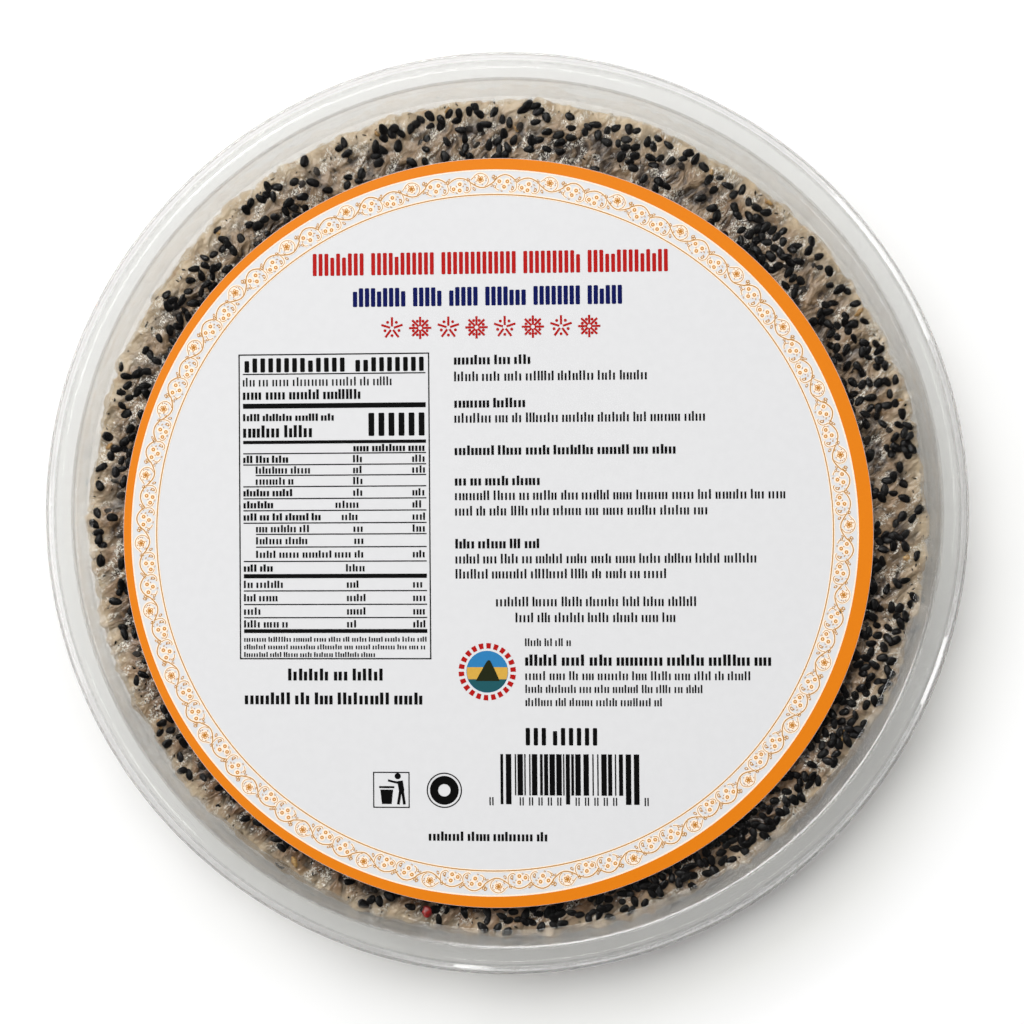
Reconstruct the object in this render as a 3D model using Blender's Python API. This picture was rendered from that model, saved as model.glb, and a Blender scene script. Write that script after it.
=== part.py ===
"""A shut round pack of black sesame rice crackers, lying flat with its label up.

A shallow clear tray holds a stack of five wavy crackers. A clear lid with a sunk top panel closes
it, and a round paper label lies on the panel. Black sesame seeds stand proud of the top cracker
where the label leaves it bare. Metres, +Z up, origin on the table under the middle of the rim.
"""

import math
import random

import bmesh
import bpy
from mathutils import Vector, noise
from mathutils.bvhtree import BVHTree

MM = 0.001

# Driving dimensions of the pack
RIM_RADIUS = 119.0 * MM
PACK_HEIGHT = 26.5 * MM
WELL_RADIUS = 112.0 * MM
TRAY_WALL = 0.7 * MM
LID_WALL = 0.6 * MM
PANEL_SINK = 2.9 * MM
SINK_SLOPE = 4.4 * MM
BASE_RISE = 1.2 * MM
STAND_RING = 13.5 * MM
CLEARANCE = 0.3 * MM

# Driving dimensions of the label
LABEL_RADIUS = 96.7 * MM
LABEL_PAPER = 0.2 * MM
LABEL_CENTRE = (-2.4 * MM, -5.6 * MM)

# Driving dimensions of the crackers
CRACKER_RADIUS = 109.8 * MM
CRACKER_SHEET = 1.4 * MM
CRACKER_COUNT = 5
CRACKER_WAVE = 1.05 * MM
WAVE_LENGTH = 30.0 * MM
EDGE_DENT = 3.2 * MM
EDGE_LOBES = 3.2
STACK_SHIFT = -1.3 * MM

# Driving dimensions of the sesame seeds
SEED_LENGTH = 3.5 * MM
SEED_WIDTH = 2.2 * MM
SEED_THICKNESS = 1.1 * MM
SEED_COUNT = 100
SEED_GAP = 4.6 * MM

ROUND_STEPS = 64
ARC_STEPS = 2

# Levels that follow from the dimensions above
TRAY_BOTTOM = TRAY_WALL / 2
TRAY_RIM = PACK_HEIGHT - 1.9 * MM
LID_BAND = TRAY_RIM + TRAY_WALL / 2 + CLEARANCE + LID_WALL / 2
LID_PANEL = LID_BAND - PANEL_SINK
PANEL_TOP = LID_PANEL + LID_WALL / 2
STACK_FLOOR = TRAY_BOTTOM + BASE_RISE + TRAY_WALL / 2 + CLEARANCE
STACK_PITCH = 3.85 * MM
FIRST_CRACKER = STACK_FLOOR + CRACKER_WAVE + CRACKER_SHEET / 2


def material(name, colour, roughness, clear=0.0, ior=1.45):
    """A Principled material; clear is how much light it lets through."""
    made = bpy.data.materials.new(name)
    made.use_nodes = True
    shader = made.node_tree.nodes["Principled BSDF"]
    shader.inputs["Base Color"].default_value = (*colour, 1.0)
    shader.inputs["Roughness"].default_value = roughness
    shader.inputs["Transmission Weight"].default_value = clear
    shader.inputs["IOR"].default_value = ior
    return made


def add_object(name, bm, made_of):
    """Turns the bmesh into a named object with outward faces and one material."""
    bmesh.ops.recalc_face_normals(bm, faces=bm.faces)
    mesh = bpy.data.meshes.new(name)
    bm.to_mesh(mesh)
    bm.free()
    mesh.materials.append(made_of)
    mesh.shade_smooth()
    mesh.set_sharp_from_angle(angle=math.radians(50))
    obj = bpy.data.objects.new(name, mesh)
    bpy.context.scene.collection.objects.link(obj)
    return obj


def rounded(corners):
    """Points (r, z) along a line of corners (r, z, fillet), each fillet drawn as a short arc."""
    points = [Vector(corners[0][:2])]
    for before, corner, after in zip(corners, corners[1:], corners[2:]):
        here = Vector(corner[:2])
        back = (Vector(before[:2]) - here).normalized()
        ahead = (Vector(after[:2]) - here).normalized()
        half = back.angle(ahead) / 2
        if corner[2] == 0 or half > math.radians(88):
            points.append(here)
            continue
        reach = corner[2] / math.tan(half)
        centre = here + (back + ahead).normalized() * corner[2] / math.sin(half)
        first = here + back * reach - centre
        turn = first.angle_signed(here + ahead * reach - centre)
        for step in range(ARC_STEPS + 1):
            swing = -turn * step / ARC_STEPS
            cos, sin = math.cos(swing), math.sin(swing)
            arm = Vector((first.x * cos - first.y * sin, first.x * sin + first.y * cos))
            points.append(centre + arm)
    points.append(Vector(corners[-1][:2]))
    return points


def beside(line, distance):
    """The same line moved sideways by distance, to the left of its direction."""
    moved = []
    for index, here in enumerate(line):
        before = line[max(index - 1, 0)]
        after = line[min(index + 1, len(line) - 1)]
        sides = []
        for start, end in ((before, here), (here, after)):
            if (end - start).length > 0:
                run = (end - start).normalized()
                sides.append(Vector((-run.y, run.x)))
        side = (sides[0] + sides[-1]).normalized()
        moved.append(here + side * distance / side.dot(sides[0]))
    return moved


def turned_shell(name, corners, wall, made_of):
    """A thin wall turned about Z, its middle line running from the axis out to a free edge."""
    line = rounded(corners)
    profile = beside(line, -wall / 2) + beside(line, wall / 2)[::-1]
    bm = bmesh.new()
    verts = [bm.verts.new((point.x, 0, point.y)) for point in profile]
    edges = [bm.edges.new(pair) for pair in zip(verts, verts[1:])]
    bmesh.ops.spin(
        bm, geom=verts + edges, cent=(0, 0, 0), axis=(0, 0, 1), angle=2 * math.pi, steps=ROUND_STEPS
    )
    bmesh.ops.remove_doubles(bm, verts=bm.verts, dist=0.001 * MM)
    bmesh.ops.triangulate(bm, faces=bm.faces)
    return add_object(name, bm, made_of)


def make_tray(plastic):
    """Raised base, standing ring, nearly upright wall and a flat rim with a turned-down edge."""
    ring_inner = WELL_RADIUS - STAND_RING
    wall_foot = WELL_RADIUS - 0.4 * MM + TRAY_WALL / 2
    wall_top = WELL_RADIUS + TRAY_WALL / 2
    rim_edge = RIM_RADIUS - 2.0 * MM
    corners = [
        (0, TRAY_BOTTOM + BASE_RISE, 0),
        (ring_inner - 2.5 * MM, TRAY_BOTTOM + BASE_RISE, 0),
        (ring_inner, TRAY_BOTTOM, 0),
        (wall_foot, TRAY_BOTTOM, 2.5 * MM),
        (wall_top, TRAY_RIM, 1.0 * MM),
        (rim_edge, TRAY_RIM, 0),
        (rim_edge + 0.2 * MM, TRAY_RIM - 2.2 * MM, 0),
    ]
    return turned_shell("tray", corners, TRAY_WALL, plastic)


def make_lid(plastic):
    """Sunk panel, sloped sink wall, flat band, raised outer bead and a skirt round the tray's rim."""
    sink_top = WELL_RADIUS - 0.7 * MM
    skirt = RIM_RADIUS - LID_WALL / 2
    crest = PACK_HEIGHT - LID_WALL / 2
    corners = [
        (0, LID_PANEL, 0),
        (sink_top - SINK_SLOPE, LID_PANEL, 1.0 * MM),
        (sink_top, LID_BAND, 0.8 * MM),
        (RIM_RADIUS - 2.8 * MM, LID_BAND, 0),
        (RIM_RADIUS - 1.6 * MM, crest, 0),
        (skirt, crest, 0.8 * MM),
        (skirt, PACK_HEIGHT - 6.0 * MM, 0),
    ]
    return turned_shell("lid", corners, LID_WALL, plastic)


def make_label(paper):
    """A paper disc on the sunk panel, a little off the middle."""
    bm = bmesh.new()
    bmesh.ops.create_cone(
        bm,
        cap_ends=True,
        segments=ROUND_STEPS,
        radius1=LABEL_RADIUS,
        radius2=LABEL_RADIUS,
        depth=LABEL_PAPER,
    )
    obj = add_object("label", bm, paper)
    obj.location = (*LABEL_CENTRE, PANEL_TOP + CLEARANCE + LABEL_PAPER / 2)
    return obj


def cracker_edge(number, angle):
    """Radius of a cracker's uneven outline at an angle: shallow dents in a round edge."""
    around = Vector((math.cos(angle), math.sin(angle), 0)) * EDGE_LOBES
    return CRACKER_RADIUS - EDGE_DENT * abs(noise.noise(around + Vector((0, 0, 7.3 * number))))


def cracker_lift(number, x, y):
    """Height of a cracker's wavy middle surface above its own level."""
    across = Vector((x, y, 0)) / WAVE_LENGTH + Vector((3.1 * number, 0, 5.7 * number))
    return CRACKER_WAVE * math.tanh(2.6 * noise.noise(across))


def cracker_level(number):
    """Height of the middle of a cracker, counted from 0 at the bottom of the stack."""
    return FIRST_CRACKER + STACK_PITCH * number


def make_cracker(number, spokes, rings, rice):
    """A wavy sheet of even thickness, with both faces split into triangles alike."""
    bm = bmesh.new()
    faces = []
    for side in (1, -1):
        rows = []
        for ring in rings:
            row = []
            for spoke in range(spokes if ring > 0 else 1):
                angle = 2 * math.pi * spoke / spokes
                reach = ring * cracker_edge(number, angle)
                x, y = reach * math.cos(angle), reach * math.sin(angle) + STACK_SHIFT
                z = cracker_level(number) + cracker_lift(number, x, y) + side * CRACKER_SHEET / 2
                row.append(bm.verts.new((x, y, z)))
            rows.append(row)
        faces.append(rows)
        middle = rows[0][0]
        for start in range(spokes):
            end = (start + 1) % spokes
            bm.faces.new((middle, rows[1][start], rows[1][end]))
            for inner, outer in zip(rows[1:], rows[2:]):
                bm.faces.new((inner[start], outer[start], outer[end]))
                bm.faces.new((inner[start], outer[end], inner[end]))
    top_edge, bottom_edge = faces[0][-1], faces[1][-1]
    for start in range(spokes):
        end = (start + 1) % spokes
        bm.faces.new((top_edge[start], bottom_edge[start], bottom_edge[end]))
        bm.faces.new((top_edge[start], bottom_edge[end], top_edge[end]))
    return add_object(f"cracker_{number + 1}", bm, rice)


def bare_of_label(x, y):
    """True where a seed at (x, y) shows past the label's edge."""
    return math.hypot(x - LABEL_CENTRE[0], y - LABEL_CENTRE[1]) > LABEL_RADIUS - SEED_WIDTH


def seed_places(number):
    """Seeded random places on the bare ring of the top cracker, kept a seed's length apart."""
    draw = random.Random(22)
    places = []
    for _ in range(40 * SEED_COUNT):
        angle = draw.uniform(0, 2 * math.pi)
        reach = (cracker_edge(number, angle) - 0.75 * SEED_LENGTH) * math.sqrt(draw.uniform(0.6, 1))
        x, y = reach * math.cos(angle), reach * math.sin(angle) + STACK_SHIFT
        clear = all(math.dist((x, y), place[:2]) > SEED_GAP for place in places)
        if bare_of_label(x, y) and clear:
            places.append((x, y, draw.uniform(0, math.pi), draw.uniform(0.88, 1.08)))
        if len(places) == SEED_COUNT:
            break
    return places


def make_seed(name, face, place, hull):
    """A low teardrop half sunk in the top cracker's upper face."""
    x, y, turn, size = place
    bm = bmesh.new()
    bmesh.ops.create_uvsphere(bm, u_segments=6, v_segments=4, radius=0.5)
    for vert in bm.verts:
        taper = 1 - 0.35 * (vert.co.x + 0.5)
        vert.co.x *= SEED_LENGTH * size
        vert.co.y *= SEED_WIDTH * size * taper
        vert.co.z *= SEED_THICKNESS * size
    obj = add_object(name, bm, hull)
    rest, normal = face.ray_cast(Vector((x, y, PACK_HEIGHT)), Vector((0, 0, -1)))[:2]
    obj.location = rest + normal * 0.15 * SEED_THICKNESS
    obj.rotation_euler = (0, 0, turn)
    return obj


def fuse_seeds(cracker, number, hull):
    """Joins the seeds to the top cracker in one Boolean union."""
    seeds = bpy.data.collections.new("sesame_seeds")
    bpy.context.scene.collection.children.link(seeds)
    sheet = cracker.data
    face = BVHTree.FromPolygons(
        [vert.co for vert in sheet.vertices], [polygon.vertices for polygon in sheet.polygons]
    )
    for index, place in enumerate(seed_places(number)):
        seed = make_seed(f"seed_{index + 1}", face, place, hull)
        bpy.context.scene.collection.objects.unlink(seed)
        seeds.objects.link(seed)
    union = cracker.modifiers.new("fuse_seeds", "BOOLEAN")
    union.operation = "UNION"
    union.operand_type = "COLLECTION"
    union.collection = seeds
    union.solver = "EXACT"
    bpy.context.view_layer.update()
    fused = bpy.data.meshes.new_from_object(
        cracker.evaluated_get(bpy.context.evaluated_depsgraph_get())
    )
    cracker.modifiers.clear()
    cracker.data = fused
    for seed in list(seeds.objects):
        bpy.data.objects.remove(seed)
    bpy.data.collections.remove(seeds)


def make_crackers(rice, hull):
    """The stack, from the bottom up. Only the top cracker's face shows, so it is the finer one."""
    top = CRACKER_COUNT - 1
    for number in range(top):
        make_cracker(number, 36, (0, 0.34, 0.67, 1), rice)
    fine = make_cracker(top, 64, (0, 0.45, 0.78, 0.9, 1), rice)
    fine.data.materials.append(hull)
    fuse_seeds(fine, top, hull)


def main():
    for obj in list(bpy.data.objects):
        bpy.data.objects.remove(obj)
    plastic = material("clear_plastic", (0.93, 0.95, 0.95), 0.04, clear=1.0, ior=1.575)
    make_tray(plastic)
    make_lid(plastic)
    make_label(material("label_paper", (0.82, 0.82, 0.84), 0.45))
    rice = material("rice_cracker", (0.56, 0.48, 0.37), 0.5)
    hull = material("black_sesame", (0.012, 0.012, 0.014), 0.4)
    make_crackers(rice, hull)


main()
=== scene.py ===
import math
import random

import bmesh
import bpy
from mathutils import Matrix, Vector, kdtree, noise


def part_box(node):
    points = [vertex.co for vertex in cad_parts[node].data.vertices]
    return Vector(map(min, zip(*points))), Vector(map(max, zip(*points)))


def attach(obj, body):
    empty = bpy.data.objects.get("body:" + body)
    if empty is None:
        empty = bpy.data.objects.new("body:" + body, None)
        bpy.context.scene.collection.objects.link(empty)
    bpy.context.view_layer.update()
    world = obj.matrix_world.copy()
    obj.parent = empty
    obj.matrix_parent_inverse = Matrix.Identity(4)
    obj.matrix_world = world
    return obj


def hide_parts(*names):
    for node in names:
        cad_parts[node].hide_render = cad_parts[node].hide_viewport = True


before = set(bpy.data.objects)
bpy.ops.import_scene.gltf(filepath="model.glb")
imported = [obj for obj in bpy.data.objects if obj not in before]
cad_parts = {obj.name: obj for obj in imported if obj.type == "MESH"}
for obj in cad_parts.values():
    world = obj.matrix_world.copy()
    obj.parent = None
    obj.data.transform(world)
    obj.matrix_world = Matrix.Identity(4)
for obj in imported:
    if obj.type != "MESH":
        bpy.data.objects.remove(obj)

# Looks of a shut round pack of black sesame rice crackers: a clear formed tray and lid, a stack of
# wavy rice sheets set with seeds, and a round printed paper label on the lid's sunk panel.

MM = 0.001
TURN = 2 * math.pi
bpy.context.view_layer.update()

# Sizes read from the frame
LID_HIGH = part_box("lid")[1]
LABEL_LOW, LABEL_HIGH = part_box("label")
RIM_RADIUS = LID_HIGH.x
PACK_HEIGHT = LID_HIGH.z
# The label was measured again for the looks, and lies 0.4 mm from the part's
LABEL_MIDDLE = (LABEL_LOW + LABEL_HIGH) / 2 + Vector((0.08, 0.37, 0.0)) * MM
LABEL_RADIUS = (LABEL_HIGH.x - LABEL_LOW.x) / 2 + 0.25 * MM

# Driving sizes of the clear plastic, as in the part
WELL_RADIUS = 112.0 * MM
TRAY_WALL = 0.7 * MM
LID_WALL = 0.6 * MM
PANEL_SINK = 2.9 * MM
SINK_SLOPE = 4.4 * MM
BASE_RISE = 1.2 * MM
STAND_RING = 13.5 * MM
CLEARANCE = 0.3 * MM
# The lid's rim, which is round its own middle, and how far its sunk panel lies off that middle
RIM_REACH = 3.2 * MM
PANEL_SLIP = -0.7 * MM
GROOVE_DEPTH = 0.08 * MM
TURN_STEPS = 360
ARC_STEPS = 7

# Driving sizes of the crackers, as in the part
CRACKER_RADIUS = 109.8 * MM
CRACKER_SHEET = 1.4 * MM
CRACKER_COUNT = 5
CRACKER_WAVE = 1.05 * MM
WAVE_LENGTH = 30.0 * MM
EDGE_DENT = 3.2 * MM
EDGE_LOBES = 3.2
STACK_SHIFT = -1.3 * MM
STACK_PITCH = 3.85 * MM
TOP = CRACKER_COUNT - 1

# Driving sizes of the relief on a cracker's faces
BLISTER_SPAN = 10.0 * MM
BLISTER_RISE = 0.5 * MM
FOLD_SPAN = 4.2 * MM
FOLD_RISE = 0.5 * MM
FOLD_TURN = math.radians(-42)
PEBBLE_SPAN = 1.6 * MM
PEBBLE_RISE = 0.13 * MM
LIP_REACH = 1.35 * MM
LIP_RISE = 0.2 * MM
LIP_WIDTH = 0.5 * MM

# How a sheet thins at its edge, from a share of its radius on, and how deep the edge is cut
THINS_FROM = 0.965
THINNED = 0.45
EDGE_WAVES = 2.6 * MM
EDGE_CHIPS = 1.3 * MM
EDGE_BITES = 1.8 * MM
EDGE_ROUND = 0.28 * MM

# Driving sizes of a black sesame seed
SEED_LENGTH = 3.3 * MM
SEED_WIDTH = 2.1 * MM
SEED_THICKNESS = 1.0 * MM
SHOWN_SEEDS = 770
HIDDEN_SEEDS = 760
# How far seeds lie inside the edge and from each other, and how near one is heaped on another
SEED_INSET = 1.6 * MM
SEED_GAP = 1.55 * MM
HEAPED_GAP = 1.9 * MM

# Levels that follow
TRAY_BOTTOM = TRAY_WALL / 2
TRAY_RIM = PACK_HEIGHT - 1.9 * MM
LID_BAND = TRAY_RIM + TRAY_WALL / 2 + CLEARANCE + LID_WALL / 2
LID_PANEL = LID_BAND - PANEL_SINK
STACK_FLOOR = TRAY_BOTTOM + BASE_RISE + TRAY_WALL / 2 + CLEARANCE
FIRST_CRACKER = STACK_FLOOR + CRACKER_WAVE + CRACKER_SHEET / 2
# The highest that a cracker or a seed may reach under the lid's panel
HEADROOM = LID_PANEL - LID_WALL / 2 - 0.08 * MM


# Materials

def colour(code):
    """An sRGB hex colour as the linear values that a shader works in."""
    shares = [int(code[at:at + 2], 16) / 255 for at in (1, 3, 5)]
    return (*[s / 12.92 if s <= 0.04045 else ((s + 0.055) / 1.055) ** 2.4 for s in shares], 1.0)


def feed(tree, node, inputs):
    """Sets a node's inputs, each to a value or from another node's output."""
    for socket, value in inputs.items():
        if isinstance(value, bpy.types.NodeSocket):
            tree.links.new(value, node.inputs[socket])
        else:
            node.inputs[socket].default_value = value


def add(tree, kind, output, inputs, **settings):
    """Adds one node with its settings and links, and gives the output that is asked for."""
    node = tree.nodes.new("ShaderNode" + kind)
    for name, value in settings.items():
        setattr(node, name, value)
    feed(tree, node, inputs)
    return node.outputs[output]


# Settings of a node that stretches a value between two levels, so that it has soft ends
SOFT = {"interpolation_type": "SMOOTHSTEP"}


def patches(tree, place, span, low, high, most=1.0, detail=2.0, rough=0.5):
    """Patches about span wide, as a share: noise under low gives none of it, over high the most."""
    sizes = {"Vector": place, "Scale": 1 / span, "Detail": detail, "Roughness": rough}
    levels = {"From Min": low, "From Max": high, "To Max": most}
    levels["Value"] = add(tree, "TexNoise", "Fac", sizes)
    return add(tree, "MapRange", "Result", levels, **SOFT)


def lumps(tree, place, span, rise, detail=2.0, rough=0.5, **under):
    """Bump of lumps about span wide and of a real height in metres, on top of any bump under it."""
    sizes = {"Vector": place, "Scale": 1 / span, "Detail": detail, "Roughness": rough}
    height = add(tree, "TexNoise", "Fac", sizes)
    return add(tree, "Bump", "Normal", {"Height": height, "Distance": rise, **under})


def coats(tree, base, *layers):
    """A base colour with layers (share, colour, way) laid over it, one after another."""
    tint = base
    for share, over, *way in layers:
        settings = {"data_type": "RGBA", "blend_type": way[0] if way else "MIX"}
        tint = add(tree, "Mix", 2, {0: share, 6: tint, 7: over}, **settings)
    return tint


def finish_of(name):
    """A new material with its Principled shader, its output and the place on the object."""
    made = bpy.data.materials.new(name)
    made.use_nodes = True
    tree = made.node_tree
    place = add(tree, "TexCoord", "Object", {})
    return made, tree, tree.nodes["Principled BSDF"], tree.nodes["Material Output"], place


def clear_pet(name, tint, straight, clearness):
    """Clear PET sheet, thermoformed: glassy, and so thin that it bends light only at its folds."""
    made, tree, shader, output, place = finish_of(name)
    # Forming draws the wall thin and clear, and leaves the rim thick, with a milky cast
    height = add(tree, "SeparateXYZ", "Z", {"Vector": place})
    rim = {"Value": height, "From Min": TRAY_RIM - 2 * MM, "From Max": TRAY_RIM - 0.3 * MM}
    cast = add(tree, "MapRange", "Result", {**rim, "To Min": 1.0, "To Max": clearness}, **SOFT)
    # The forming heat leaves a faint haze in patches of about 9 mm, and glassy sheet between them
    haze = patches(tree, place, 9 * MM, 0.53, 0.74, 0.06)
    feed(tree, shader, {
        "Base Color": colour(tint), "Transmission Weight": cast, "IOR": 1.575, "Roughness": haze,
    })
    # Some light passes straight, as through a pane
    pane = add(tree, "BsdfTransparent", "BSDF", {"Color": colour(tint)})
    sheet = add(tree, "MixShader", "Shader", {0: straight, 1: shader.outputs["BSDF"], 2: pane})
    # Light shines through on the crackers and the table, weakened by gloss and haze
    dimmed = add(tree, "BsdfTransparent", "BSDF", {"Color": colour("#F6F6F5")})
    rays = add(tree, "LightPath", 0, {}).node.outputs
    kinds = {0: rays["Is Shadow Ray"], 1: rays["Is Diffuse Ray"]}
    unseen = add(tree, "Math", "Value", kinds, operation="MAXIMUM")
    feed(tree, output, {"Surface": add(tree, "MixShader", "Shader", {0: unseen, 1: sheet, 2: dimmed})})
    return made


def coated_paper():
    """Coated label paper, calendered: smooth bright white, with a faint fibre cloud and low gloss."""
    made, tree, shader, _, place = finish_of("coated_label_paper")
    cloud = patches(tree, place, 2.4 * MM, 0.3, 0.7, detail=4.0, rough=0.6)
    feed(tree, shader, {
        "Base Color": coats(tree, colour("#D8D8D9"), (cloud, colour("#DADADB"))),
        "IOR": 1.5, "Specular IOR Level": 0.35, "Roughness": 0.48,
        # Fibres are about 0.02 mm wide, drawn at 0.4 mm so that they show
        "Normal": lumps(tree, place, 0.4 * MM, 0.004 * MM),
    })
    return made


def printing_ink(name, code, mottle, shine=0.35):
    """Offset ink on coated paper, dried: a thin satin film, a little uneven in its cover."""
    made, tree, shader, _, place = finish_of(name)
    full = colour(code)
    thin = tuple(share + (1 - share) * share * mottle for share in full[:3]) + (1.0,)
    # Print mottle is finer than 0.3 mm and is drawn at 0.6 mm
    cover = patches(tree, place, 0.6 * MM, 0.3, 0.75, detail=3.0, rough=0.65)
    ink = coats(tree, full, (cover, thin))
    feed(tree, shader, {"Base Color": ink, "IOR": 1.48, "Specular IOR Level": shine, "Roughness": 0.42})
    return made


def dried_rice_sheet():
    """Steamed rice batter, sun-dried on mats: a waxy, part clear sheet with frosted starch."""
    made, tree, shader, _, place = finish_of("dried_rice_sheet")
    # The batter dried in slanting folds, some 4 mm apart and twice as long
    turned = {"Vector": place, "Rotation": (0, 0, FOLD_TURN), "Scale": (1.0, 2.0, 1.0)}
    slant = add(tree, "Mapping", "Vector", turned, vector_type="TEXTURE")
    sizes = {"Vector": slant, "Scale": 1 / FOLD_SPAN, "Detail": 3.0, "Roughness": 0.55, "Distortion": 0.9}
    fold = add(tree, "TexNoise", "Fac", sizes)
    # In the folds the sheet is thick, glassy and brown; on their backs it is thin and paler. The darker
    # troughs are also painted shade in the creases of the folds.
    back = add(tree, "MapRange", "Result", {"Value": fold, "From Min": 0.4, "From Max": 0.58}, **SOFT)
    cloud = patches(tree, place, 3 * MM, 0.5, 0.68, 0.45, 4.0, 0.6)
    # Painted shade: the sheet is darker towards its lower side, away from the light
    side = add(tree, "VectorMath", "Value", {0: place, 1: (-0.35, -0.94, 0)}, operation="DOT_PRODUCT")
    lower_shade_levels = {"Value": side, "From Min": -0.03, "From Max": 0.1, "To Max": 0.9}
    painted_lower_shade = add(tree, "MapRange", "Result", lower_shade_levels, **SOFT)
    # It dried thinnest and palest at its edge, in a ragged margin that widens a little at the head. The
    # darker sheet inside the margin, near the label, is also painted shade from the label above it.
    shift = {0: place, 1: (1, 1, 0), 2: (-0.2 * MM, 2.1 * MM, 0)}
    flat = add(tree, "VectorMath", "Vector", shift, operation="MULTIPLY_ADD")
    reach = add(tree, "VectorMath", "Value", {0: flat}, operation="LENGTH")
    sizes = {"Vector": place, "Scale": 1 / (5 * MM), "Detail": 3.0, "Roughness": 0.6}
    teeth = {0: add(tree, "TexNoise", "Fac", sizes), 1: 12 * MM, 2: reach}
    margin = {"From Min": CRACKER_RADIUS - 3.2 * MM, "From Max": CRACKER_RADIUS + 6.6 * MM}
    margin["Value"] = add(tree, "Math", "Value", teeth, operation="MULTIPLY_ADD")
    thin = add(tree, "MapRange", "Result", margin, **SOFT)
    tan = patches(tree, place, 6 * MM, 0.54, 0.72, 0.6, 4.0, 0.6)
    # Frosted starch lies in streaks along the folds, made of grains near 0.3 mm; their near-white colour is
    # partly frosted starch and partly painted glints of light on the folds
    cells = add(tree, "TexVoronoi", "Color", {"Vector": place, "Scale": 1 / (0.3 * MM)})
    glint_crystals = add(tree, "MapRange", "Result", {"Value": cells, "From Min": 0.42, "From Max": 0.72}, **SOFT)
    streaks = {0: patches(tree, slant, 2.9 * MM, 0.48, 0.6, 1.0, 3.0, 0.6), 1: glint_crystals}
    frost_and_glints = add(tree, "Math", "Value", streaks, operation="MULTIPLY")
    white = add(tree, "MapRange", "Result", {"Value": frost_and_glints, "To Max": 0.85}, **SOFT)
    gloss = add(tree, "MapRange", "Result", {"Value": frost_and_glints, "To Min": 0.34, "To Max": 0.14}, **SOFT)
    specks = patches(tree, place, 1.1 * MM, 0.70, 0.76, 0.85, 2.0, 0.6)
    tint = coats(
        tree, colour("#2F2217"),
        # paler fold backs over darker troughs, partly painted crease shade
        (back, colour("#8E775D")),
        (cloud, colour("#A4917A")),
        # painted shade, darker towards the lower side
        (painted_lower_shade, colour("#CCAF94"), "MULTIPLY"),
        # pale thin margin; the darker sheet inside it is partly painted label shade
        (thin, colour("#C3AF92")),
        (tan, colour("#8C6942")),
        # near white: frosted starch, partly painted glints
        (white, colour("#F0EADE")),
        (specks, colour("#33281E")),
    )
    # The folds flatten out towards the thin margin, and lumps and the frosted grains stand on them
    flatter = add(tree, "Math", "Value", {0: thin, 1: -0.6, 2: 1.0}, operation="MULTIPLY_ADD")
    ridges = add(tree, "Math", "Value", {0: fold, 1: flatter}, operation="MULTIPLY")
    folded = add(tree, "Bump", "Normal", {"Height": ridges, "Distance": 2.4 * MM})
    lumped = lumps(tree, place, 1.3 * MM, 0.24 * MM, 3.0, 0.6, Normal=folded)
    feed(tree, shader, {
        "Base Color": tint, "Roughness": gloss, "IOR": 1.5,
        "Subsurface Weight": 0.18, "Subsurface Radius": (1.0, 0.8, 0.55), "Subsurface Scale": 1.0 * MM,
        "Normal": add(tree, "Bump", "Normal", {"Height": frost_and_glints, "Distance": 0.1 * MM, "Normal": lumped}),
    })
    return made


def sesame_hull(name, deep, worn, gloss):
    """Black sesame hull, dried and lightly oiled: near black, with small soft glints."""
    made, tree, shader, _, place = finish_of(name)
    rub = patches(tree, place, 0.9 * MM, 0.45, 0.75, detail=3.0, rough=0.6)
    duller = {"Value": rub, "To Min": gloss, "To Max": gloss + 0.2}
    feed(tree, shader, {
        "Base Color": coats(tree, colour(deep), (rub, colour(worn))),
        "IOR": 1.46, "Specular IOR Level": 0.18,
        "Roughness": add(tree, "MapRange", "Result", duller, **SOFT),
        # The hull's pits are near 0.1 mm, drawn at 0.3 mm
        "Normal": lumps(tree, place, 0.3 * MM, 0.05 * MM),
    })
    return made


def dried_flake(name, deep, light):
    """Dried vegetable flake, sliced thin: part clear, browner along its folds."""
    made, tree, shader, _, place = finish_of(name)
    vein = patches(tree, place, 0.8 * MM, 0.35, 0.7, detail=3.0)
    feed(tree, shader, {
        "Base Color": coats(tree, colour(deep), (vein, colour(light))), "Roughness": 0.38,
        "Subsurface Weight": 0.3, "Subsurface Radius": (1.0, 0.6, 0.3), "Subsurface Scale": 0.8 * MM,
        "Normal": lumps(tree, place, 0.5 * MM, 0.05 * MM),
    })
    return made


def matt_card():
    """Matt white card for the floor: pale, without gloss."""
    made, tree, shader, _, place = finish_of("matt_white_card")
    cloud = add(tree, "TexNoise", "Fac", {"Vector": place, "Scale": 1 / (60 * MM)})
    shade = coats(tree, colour("#FAFAFA"), (cloud, colour("#FCFCFC")))
    feed(tree, shader, {"Base Color": shade, "Roughness": 0.9, "Specular IOR Level": 0.1})
    return made


# Shared making

def polar(turn, reach, x=0.0, y=0.0):
    """The point that lies reach away from (x, y) in the direction turn."""
    return x + reach * math.cos(turn), y + reach * math.sin(turn)


def pairs(count):
    """Each step round a ring, with the step after it."""
    return [(step, (step + 1) % count) for step in range(count)]


def evenly(first, span, steps):
    """Levels from the first one on, over a span, in even steps."""
    return [first + span * step / steps for step in range(steps + 1)]


def add_piece(name, points, faces, made_of, stands_for=(), sharp=50):
    """One mesh object with a material, riding on the pack's only body."""
    mesh = bpy.data.meshes.new(name)
    mesh.from_pydata(points, [], faces)
    mesh.materials.append(made_of)
    mesh.shade_smooth()
    if sharp:
        mesh.set_sharp_from_angle(angle=math.radians(sharp))
    piece = bpy.data.objects.new(name, mesh)
    bpy.context.scene.collection.objects.link(piece)
    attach(piece, "root")
    if stands_for:
        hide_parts(*stands_for)
    return piece


# Clear tray and lid

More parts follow.
